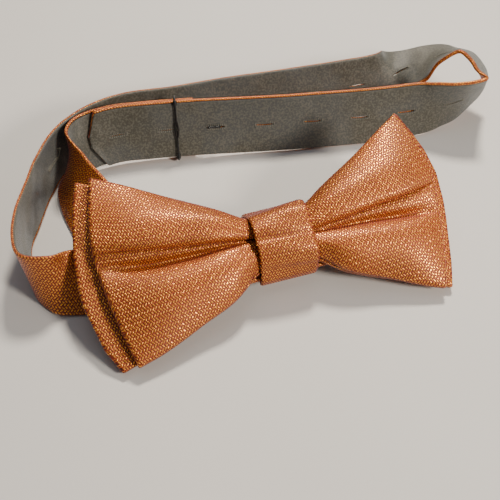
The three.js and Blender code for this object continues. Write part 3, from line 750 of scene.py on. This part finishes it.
def bow_sleeve(name, fronts, ends, back_level, inset, finish, wall):
    """A bow's closed sleeve: a front sheet, a back sheet and rounded edges, for both wings."""
    rows, outs = 72, 66
    rings, uvs = [], []
    backs = plain_front(back_level)
    for side, front, end in ((-1, fronts[0], ends[0]), (1, fronts[1], ends[1])):
        face = wing_rows(front, outs, rows)
        rear = wing_rows(backs, outs, rows)
        span = np.arange(outs)[::-1] if side < 0 else np.arange(1, outs)
        for i in span:
            out, up, high = face[i, :, 0], face[i, :, 1], face[i, :, 2]
            edge = max(up[-1], -up[0])
            if inset == 0:
                high = high + gathers(out, up, edge)
            keep = 1 - inset / edge
            share = np.linspace(0, 1, rows)
            rear_up = up[0] + (up[-1] - up[0]) * share
            rear_low = rear[i, :, 2]
            stretch = (np.interp(up, END_HEIGHTS, end) - inset) / END_DISTANCE
            rear_stretch = (np.interp(rear_up, END_HEIGHTS, end) - inset) / END_DISTANCE
            blend = (out / END_DISTANCE) ** 2
            wide = out * (1 + (stretch - 1) * blend)
            rear_wide = out * (1 + (rear_stretch - 1) * blend)
            arc = np.concatenate([[0], np.cumsum(np.hypot(np.diff(up), np.diff(high)))])
            arc = arc - np.interp(0, up, arc)
            front_points = [(side * w, u * keep, h) for w, u, h in zip(wide, up, high)]
            back_points = [(side * w, u * keep, h) for w, u, h in zip(rear_wide, rear_up, rear_low)]
            rings.append(front_points + back_points[::-1])
            uvs.append([(side * w, a) for w, a in zip(wide, arc)]
                       + [(side * w, 200 + u) for w, u in zip(rear_wide[::-1], rear_up[::-1])])
    count = 2 * rows
    rings = np.array(rings)
    caps = []
    for ring, outer in ((rings[0], -1), (rings[-1], 1)):
        grown = []
        front, rear = ring[:rows], ring[rows:][::-1]
        middle = (front + rear) / 2
        for push, squeeze in ((0.45, 0.82), (0.75, 0.5), (0.85, 0.12)):
            new_front = middle + (front - middle) * squeeze
            new_rear = middle + (rear - middle) * squeeze
            new_front[:, 0] += outer * push
            new_rear[:, 0] += outer * push
            grown.append(np.vstack([new_front, new_rear[::-1]]))
        caps.append(grown)
    rings = np.array([*caps[0][::-1], *rings, *caps[1]])
    uvs = [uvs[0]] * 3 + uvs + [uvs[-1]] * 3
    points = on_bow(rings.reshape(-1, 3))
    faces = []
    total = len(rings)
    for i in range(total - 1):
        for j in range(count):
            k = (j + 1) % count
            faces.append((i * count + j, (i + 1) * count + j, (i + 1) * count + k, i * count + k))
    last = (total - 1) * count
    for j in range(rows - 1):
        quad = (j, j + 1, count - 2 - j, count - 1 - j)
        faces.append(quad)
        faces.append(tuple(last + k for k in reversed(quad)))
    return cloth_piece(name, points, [uv for ring in uvs for uv in ring], faces, finish, wall)


FRONT_BACK_LEVEL = -2.0
BACK_FRONT_LEVEL = -2.6
BACK_BACK_LEVEL = -4.7
FRONT_STIFF_LEVELS = (-1.0, -1.35)
BACK_STIFF_LEVELS = (-3.4, -4.0)
STIFF_INSET = 2.5
HOURGLASS_SHARE = 0.62
front_bow = bow_sleeve("front_bow_sleeve", (LEFT_PLEAT, RIGHT_PLEAT), (FRONT_LEFT_END, FRONT_RIGHT_END),
                       FRONT_BACK_LEVEL, 0, copper_jacquard, BOW_CLOTH)
back_front = plain_front(BACK_FRONT_LEVEL)
back_bow = bow_sleeve("back_bow_sleeve", (back_front, back_front), (BACK_LEFT_END, BACK_RIGHT_END),
                      BACK_BACK_LEVEL, 0, copper_jacquard, BOW_CLOTH)
front_stiff_face = plain_front(FRONT_STIFF_LEVELS[0])
front_stiff = bow_sleeve("front_bow_stiffening", (front_stiff_face, front_stiff_face),
                         (FRONT_LEFT_END, FRONT_RIGHT_END), FRONT_STIFF_LEVELS[1], STIFF_INSET,
                         stiff_ply, 0)
back_stiff_face = plain_front(BACK_STIFF_LEVELS[0])
back_stiff = bow_sleeve("back_bow_stiffening", (back_stiff_face, back_stiff_face),
                        (BACK_LEFT_END, BACK_RIGHT_END), BACK_STIFF_LEVELS[1], STIFF_INSET,
                        stiff_ply, 0)
for piece, node, slot, cut, held in (
        (front_bow, "front_bow_cover", "face_cloth", (0.150, 0.130), "gathered"),
        (back_bow, "back_bow_cover", "face_cloth", (0.146, 0.140), "gathered"),
        (front_stiff, "front_bow_interlining", "stiffener", (0.069, 0.123), "laid"),
        (back_stiff, "back_bow_interlining", "stiffener", (0.069, 0.133), "laid")):
    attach(piece, "bow")
    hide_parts(node)
    HOURGLASS_SHARE * cut[0] * cut[1]


# ---- The knot ----
# A band of the same jacquard, folded double, is wrapped round the gathered middle and the
# strap and sewn at the back. Its front is softly creased along the bow.

# Sections of the knot's outside at places along the bow: (up the bow, out of it).
KNOT_SECTIONS = {
    -11: [(-13.2, -9), (-13.9, -7.2), (-13.2, -4.6), (-10.2, -1), (-8.8, 1.9), (-6.4, 4.1),
          (-3.5, 5), (-1.7, 5.3), (-0.2, 5), (3, 5.9), (6.4, 5.3), (9, 3.3), (10.6, 0.6),
          (12.2, -2.6), (13.7, -5.2), (13.9, -7.4), (13.2, -9), (5, -9.3), (-5, -9.3)],
    -3.5: [(-13.2, -9), (-13.9, -7.2), (-13.3, -4.6), (-10.9, -1), (-9.8, 2), (-7.3, 4.5),
           (-4.1, 5.6), (-2, 6), (-0.5, 5.5), (3, 6.5), (7, 6), (9.9, 3.8), (11.4, 0.8), (12.6, -2.4),
           (13.8, -5.2), (13.9, -7.4), (13.2, -9), (5, -9.3), (-5, -9.3)],
    4: [(-13.2, -9), (-13.9, -7.2), (-13.3, -4.6), (-11.5, -1), (-10.6, 2), (-8, 4.6), (-4.4, 5.8),
        (-2.1, 6), (-0.8, 5.5), (3, 6.5), (7.8, 6), (10.9, 3.9), (12.4, 0.8), (13.2, -2.4),
        (13.9, -5.2), (13.9, -7.4), (13.2, -9), (5, -9.3), (-5, -9.3)],
    11: [(-13.2, -9), (-13.9, -7.2), (-13.4, -4.6), (-12, -1), (-11.2, 1.7), (-8.8, 4), (-4.9, 5.2),
         (-2.5, 5.4), (-1, 5), (3, 5.9), (8.2, 5.4), (11.5, 3.4), (12.9, 0.6), (13.5, -2.4),
         (13.9, -5.2), (13.9, -7.4), (13.2, -9), (5, -9.3), (-5, -9.3)],
}
KNOT_CLOTH = 1.0


def knot_wrap():
    rows = 140
    table_rows = []
    places = sorted(KNOT_SECTIONS)
    for place in places:
        ring = KNOT_SECTIONS[place]
        looped = smooth([*ring[-2:], *ring, *ring[:2]], 10)
        start, end = 20, 20 + 10 * len(ring)
        at = np.linspace(start, end, rows, endpoint=False)
        table_rows.append(np.stack([np.interp(at, np.arange(len(looped)), looped[:, k])
                                    for k in range(2)], axis=1))
    table_rows = np.array(table_rows)
    columns = smooth([(place, *row.ravel()) for place, row in zip(places, table_rows)], 9)
    rings, uvs = [], []
    for column in columns:
        ring = column[1:].reshape(rows, 2)
        near_edge = max(0, abs(column[0]) - 10.1) / 0.9
        middle = np.array((0, -2.0))
        ring = middle + (ring - middle) * (1 - 0.022 * near_edge**2)
        crease = 0.16 * np.sin(ring[:, 0] / 1.15 + column[0] / 7) * np.clip(ring[:, 1] / 4, 0, 1)
        arc = np.concatenate([[0], np.cumsum(np.linalg.norm(np.diff(ring, axis=0), axis=1))])
        rings.append(np.column_stack([np.full(rows, column[0]), ring[:, 0], ring[:, 1] + crease]))
        uvs.append([(column[0] + 100, a) for a in arc])
    points = on_bow(np.array(rings).reshape(-1, 3))
    faces = []
    for i in range(len(columns) - 1):
        for j in range(rows):
            k = (j + 1) % rows
            faces.append((i * rows + j, (i + 1) * rows + j, (i + 1) * rows + k, i * rows + k))
    return cloth_piece("knot_band", points, [uv for ring in uvs for uv in ring], faces, copper_jacquard,
                       KNOT_CLOTH)


knot_band = knot_wrap()
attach(knot_band, "bow")
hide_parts("knot_wrap")


# ---- The gathering thread and the pad ----
# Strong thread is wound round the bows' middle and draws them together. A small wadding pad in
# front of it fills out the knot.

THREAD_RADIUS = 0.26
THREAD_TURNS = 8
THREAD_WINDING = 4.4


def round_wire(name, points, radius, finish, closed=False):
    """Round wire or thread along points in millimetres."""
    curve = bpy.data.curves.new(name, "CURVE")
    curve.dimensions = "3D"
    curve.bevel_depth = radius * MM
    curve.bevel_resolution = 3
    curve.use_fill_caps = True
    line = curve.splines.new("POLY")
    line.points.add(len(points) - 1)
    for knot_point, place in zip(line.points, in_frame(points)):
        knot_point.co = (*place, 1)
    line.use_cyclic_u = closed
    curve.materials.append(finish)
    piece = bpy.data.objects.new(name, curve)
    bpy.context.scene.collection.objects.link(piece)
    pick(piece)
    bpy.ops.object.convert(target="MESH")
    piece = bpy.context.object
    turn_outwards(piece)
    return piece


def bent(corners, bend, closed=False):
    """A path through corners, each rounded to the wire's bend."""
    corners = [np.array(corner, float) for corner in corners]
    made = []
    for i, corner in enumerate(corners):
        if not closed and i in (0, len(corners) - 1):
            made.append(corner)
            continue
        before, after = corners[i - 1] - corner, corners[(i + 1) % len(corners)] - corner
        reach = min(bend, 0.48 * np.linalg.norm(before), 0.48 * np.linalg.norm(after))
        start, end = corner + reach * unit(before), corner + reach * unit(after)
        made += [(1 - t)**2 * start + 2 * t * (1 - t) * corner + t**2 * end for t in np.linspace(0, 1, 7)]
    return made


winding_outline = np.array(bent([(-9.35, -5.0), (9.35, -5.0), (9.35, 0.6), (-9.35, 0.6)], 1.6, True))
turn_length = len(winding_outline)
winding = [(THREAD_WINDING * (i / (THREAD_TURNS * turn_length) - 0.5), *winding_outline[i % turn_length])
           for i in range(THREAD_TURNS * turn_length)]
copper_thread = thread_finish("copper_thread", (0.30, 0.10, 0.04), 0.25)
gathering = round_wire("gathering_thread_winding", on_bow(winding), THREAD_RADIUS, copper_thread)
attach(gathering, "bow")
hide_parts("gathering_thread")

PAD_HALF = (7.2, 6.6)
PAD_LEVEL = 1.05
PAD_THICKNESS = 1.9


def wadding_finish():
    finish = Finish("wadding", Roughness=0.95, Sheen_Weight=0.4)
    fibre = finish.noise(finish.object_place(), 1400, 5)
    finish.set("Base Color", finish.mix(fibre, (0.52, 0.50, 0.45), (0.78, 0.76, 0.70)))
    finish.relief(fibre, 0.0002)
    return finish.material


def knot_pad():
    """A pillow: flat underneath, crowned on top, with edges that pull in."""
    count = 17
    points, faces = [], []
    spread = np.sin(np.linspace(-math.pi / 2, math.pi / 2, count))
    for top in (1, 0):
        for x in spread:
            for y in spread:
                pull = 1 - 0.08 * (1 - max(abs(x), abs(y)))
                crown = ((1 - x**4) * (1 - y**4)) ** 0.5
                height = PAD_LEVEL + 0.35 * PAD_THICKNESS + (0.65 if top else -0.35) * PAD_THICKNESS * crown
                points.append((x * PAD_HALF[0] / pull, y * PAD_HALF[1] / pull, height))
    for top in (0, 1):
        for i in range(count - 1):
            for j in range(count - 1):
                a = top * count**2 + i * count + j
                faces.append((a, a + count, a + count + 1, a + 1))
    piece = mesh_piece("knot_wadding", on_bow(points), faces, wadding_finish())
    pick(piece)
    bpy.ops.object.mode_set(mode="EDIT")
    bpy.ops.mesh.select_all(action="SELECT")
    bpy.ops.mesh.remove_doubles(threshold=0.00001)
    bpy.ops.object.mode_set(mode="OBJECT")
    turn_outwards(piece)
    return piece


pad = knot_pad()
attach(pad, "bow")
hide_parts("knot_pad")


# ---- The keeper ----
# A ring of black lacquered wire round both straps. Its ends are wound round themselves at the
# edges, and on the lining side it opens into a narrow eye.

WIRE_RADIUS = 0.45
WIRE_BEND = 1.1
KEEPER_FROM_TONGUE = 37
KEEPER_HALF = 13.45
KEEPER_BACK = -3.75
KEEPER_FRONT = 1.75
EYE_HALF = 3.4
EYE_OPEN = 0.62
COIL_RADIUS = 0.56
COIL_WIRE = 0.3


def lacquer_finish():
    finish = Finish("black_lacquer", Metallic=0.35, Coat_Weight=0.4, Coat_Roughness=0.2)
    wear = finish.noise(finish.object_place(), 700, 4)
    finish.set("Base Color", finish.mix(wear.step(0.5, 0.8), (0.008, 0.008, 0.009), (0.03, 0.03, 0.033)))
    finish.set("Roughness", 0.28 + wear * 0.25)
    return finish.material


black_lacquer = lacquer_finish()
keeper_run = long_strap.length - KEEPER_FROM_TONGUE


def keeper_point(along, across, lining):
    return long_strap.point(keeper_run, along, across, lining)


def eye_width(across):
    """How far the eye's two sides stand from the ring's middle line."""
    return EYE_OPEN * max(0, 1 - (across / EYE_HALF) ** 2) ** 0.5


keeper_corners = [(0, -KEEPER_HALF, KEEPER_BACK), (0, KEEPER_HALF, KEEPER_BACK),
                  (0, KEEPER_HALF, KEEPER_FRONT), (0, -KEEPER_HALF, KEEPER_FRONT)]
ring_path = bent(keeper_corners, WIRE_BEND, True)
third_corner_end = 3 * len(ring_path) // len(keeper_corners)
opened = [*ring_path[:third_corner_end],
          *((-eye_width(across), across, KEEPER_FRONT)
            for across in np.linspace(EYE_HALF + 1, -EYE_HALF - 1, 25)),
          *ring_path[third_corner_end:]]
keeper_pieces = [round_wire("keeper_ring", [keeper_point(*place) for place in opened], WIRE_RADIUS,
                            black_lacquer, closed=True)]
eye_path = [keeper_point(eye_width(across), across, KEEPER_FRONT)
            for across in np.linspace(EYE_HALF, -EYE_HALF, 25)]
keeper_pieces.append(round_wire("keeper_eye_side", eye_path, 0.8 * WIRE_RADIUS, black_lacquer))
for side, label in ((-1, "lower"), (1, "upper")):
    coil = [keeper_point(COIL_RADIUS * math.cos(turn), side * (KEEPER_HALF - 0.7 - 0.085 * turn),
                         KEEPER_FRONT + COIL_RADIUS * math.sin(turn))
            for turn in np.linspace(0, 8 * math.pi, 97)]
    keeper_pieces.append(round_wire(f"keeper_{label}_winding", coil, COIL_WIRE, black_lacquer))
for piece in keeper_pieces:
    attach(piece, "keeper")
    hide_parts("keeper_wire")


# ---- The hooks and the eye ----
# Three fittings of the same wire, each held at a strap's end by a folded tab of woven tape: the
# size hook goes through a buttonhole, and the closure's hook and eye fasten the band.

BAR = 1.3
RING_HALF = 4.8
TAB_HALF = 3.5
TAB_SECTION = [(-2.6, -0.38), (-0.6, -0.38), (0.3, -0.74), (1.3, -0.97), (2.02, -0.66), (2.28, 0),
               (2.02, 0.66), (1.3, 0.97), (0.3, 0.74), (-0.6, 0.38), (-2.6, 0.38)]


def tape_finish():
    finish = Finish("woven_tape", Roughness=0.8, Sheen_Weight=0.3)
    along, across = finish.cloth_place()
    warp = (across * (2 * math.pi / 0.45)).math("SINE") * 0.5 + 0.5
    weft = (along * (2 * math.pi / 0.6)).math("SINE") * 0.5 + 0.5
    finish.set("Base Color", finish.mix(warp * weft, (0.03, 0.028, 0.022), (0.085, 0.08, 0.062)))
    finish.relief(warp * weft, 0.00008)
    return finish.material


woven_tape = tape_finish()


def end_point(strap, at_end, along, across, lining):
    """A point beyond a strap's end: along is how far outwards."""
    run, outwards = (strap.length, 1) if at_end else (0, -1)
    return strap.point(run, outwards * along, across, lining)


def tape_tab(name, strap, at_end, node):
    section = smooth(TAB_SECTION, 4)
    arc = np.concatenate([[0], np.cumsum(np.linalg.norm(np.diff(section, axis=0), axis=1))])
    columns = np.linspace(-TAB_HALF, TAB_HALF, 9)
    points, uvs, faces = [], [], []
    for (along, lining), run in zip(section, arc):
        for across in columns:
            points.append(end_point(strap, at_end, along, across, lining))
            uvs.append((run, across))
    for i in range(len(section) - 1):
        for j in range(len(columns) - 1):
            a = i * len(columns) + j
            quad = (a, a + 1, a + len(columns) + 1, a + len(columns))
            faces.append(quad if at_end else quad[::-1])
    piece = cloth_piece(name, points, uvs, faces, woven_tape, 0.22)
    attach(piece, "neckband")
    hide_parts(node)


def wire_fitting(name, strap, at_end, far, arm, body, node):
    """A closed wire ring round a tab, and an arm that ends in a small ball."""
    ring = bent([(BAR, -RING_HALF, 0), (far, -RING_HALF, 0), (far, RING_HALF, 0), (BAR, RING_HALF, 0)],
                WIRE_BEND, True)
    made = [round_wire(f"{name}_ring", [end_point(strap, at_end, *place) for place in ring], WIRE_RADIUS,
                       black_lacquer, closed=True)]
    if arm:
        path = [end_point(strap, at_end, along, 0, lining)
                for along, lining in bent(arm, WIRE_BEND)]
        made.append(round_wire(f"{name}_arm", path, WIRE_RADIUS, black_lacquer))
        bpy.ops.object.select_all(action="DESELECT")
        bpy.ops.mesh.primitive_uv_sphere_add(segments=20, ring_count=12, radius=1.35 * WIRE_RADIUS * MM,
                                             location=in_frame([path[-1]])[0])
        ball = bpy.context.object
        ball.name = f"{name}_ball"
        bpy.ops.object.transform_apply(location=True, rotation=True, scale=True)
        ball.data.materials.append(black_lacquer)
        bpy.ops.object.shade_smooth()
        made.append(ball)
    for piece in made:
        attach(piece, body)
        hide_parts(node)


wire_fitting("size_hook", short_strap, False, 4.3, [(4.3, 0), (10.7, 0), (10.7, 3.75), (6.0, 3.75)],
             "neckband", "size_hook")
tape_tab("size_hook_tape", short_strap, False, "size_hook_tab")
wire_fitting("closure_hook", short_strap, True, 4.7, [(4.7, 0), (10.7, 0), (10.7, -2.6), (7.2, -2.6)],
             "closure_hook", "closure_hook")
tape_tab("closure_hook_tape", short_strap, True, "closure_hook_tab")
wire_fitting("closure_eye", long_strap, False, 8.3, [], "closure_eye", "closure_eye")
tape_tab("closure_eye_tape", long_strap, False, "closure_eye_tab")


# ---- Thread ends ----
# A short end of olive thread curls up from the lining at the left bend. On the short strap a
# few zigzag stitches of copper thread hold the turned-in end of its seam.

CURL_RUN = 204
TACK_RUN = 78

curl = [long_strap.point(CURL_RUN + 1.5 * math.sin(5.2 * t), 0, -5 + 5.5 * t + 0.8 * math.cos(7 * t),
                         LINING_LEVEL + 0.15 + 0.9 * math.sin(math.pi * t)) for t in np.linspace(0, 1, 40)]
thread_end = round_wire("thread_end", curl, 0.13,
                        thread_finish("pale_olive_thread", (0.17, 0.16, 0.11), 0.2))
tack = [short_strap.point(TACK_RUN - 2.6 + 0.65 * i, 0, -10 + 0.9 * (-1) ** i, FACE_LEVEL - 0.1)
        for i in range(9)]
seam_tack = round_wire("seam_tack", bent(tack, 0.25), 0.14, copper_thread)
for piece in (thread_end, seam_tack):
    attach(piece, "neckband")
